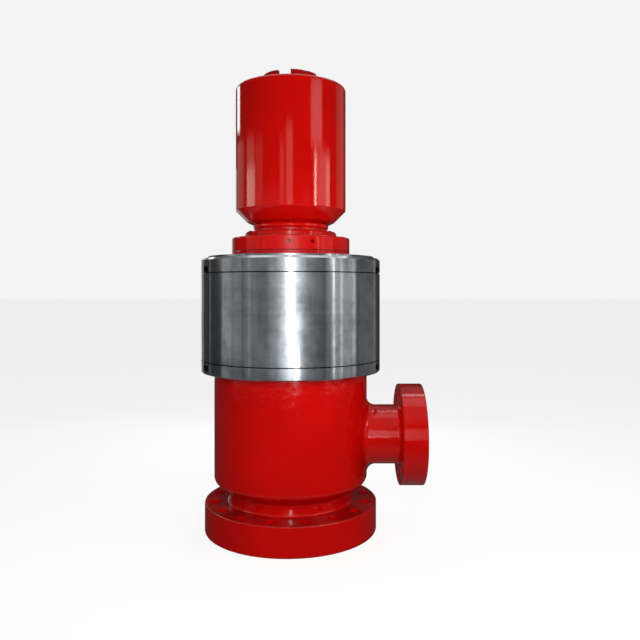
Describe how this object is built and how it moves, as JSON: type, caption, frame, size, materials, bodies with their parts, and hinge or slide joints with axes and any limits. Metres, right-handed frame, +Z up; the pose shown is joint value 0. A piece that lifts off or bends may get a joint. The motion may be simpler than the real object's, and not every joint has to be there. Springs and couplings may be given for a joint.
{
  "type": "rotating blowout preventer",
  "caption": "Rotating blowout preventer: flanged cast body with side outlet, segmented clamp, bearing assembly and a turning pot with stripper rubbers.",
  "frame": {"origin": "centre of the bottom flange's lower face, on the bore axis", "axes": "+Z up along the bore, +X out of the side outlet"},
  "size_m": [0.8679, 0.7019, 1.776],
  "materials": {
    "red_paint": "gloss enamel over turned and cast steel",
    "clamp_steel": "turned, fine rings",
    "turned_steel": "turned",
    "bearing_steel": "ground",
    "plug_steel": "zinc plated",
    "seal_rubber": "matt",
    "stripper_rubber": "moulded, matt"
  },
  "bodies": {
    "housing": {"bottom_flange": "red_paint", "body_casting": "red_paint", "side_flange": "red_paint", "bearing_housing": "red_paint", "lower_shaft_seal": "seal_rubber", "lower_outer_race": "bearing_steel", "upper_outer_race": "bearing_steel", "outer_race_spacer": "bearing_steel", "bearing_cap": "red_paint", "grease_plug": "plug_steel", "upper_shaft_seal": "seal_rubber", "seal_cap": "red_paint", "clamp_segment_front": "clamp_steel", "clamp_segment_right": "clamp_steel", "clamp_segment_left": "clamp_steel"},
    "rotor": {"mandrel": "turned_steel", "lower_inner_race": "bearing_steel", "upper_inner_race": "bearing_steel", "inner_race_spacer": "bearing_steel", "wear_sleeve": "turned_steel", "slinger": "red_paint", "pot": "red_paint", "pot_cover": "red_paint", "drive_crown": "red_paint", "upper_stripper_ring": "turned_steel", "upper_stripper_rubber": "stripper_rubber", "stripper_carrier": "turned_steel", "lower_stripper_ring": "turned_steel", "lower_stripper_rubber": "stripper_rubber"}
  },
  "joints": [
    {"name": "rotor_spin", "type": "hinge", "parent": "housing", "child": "rotor", "pos_m": [0, 0, 0.88], "axis": [0, 0, 1], "continuous": true}
  ]
}
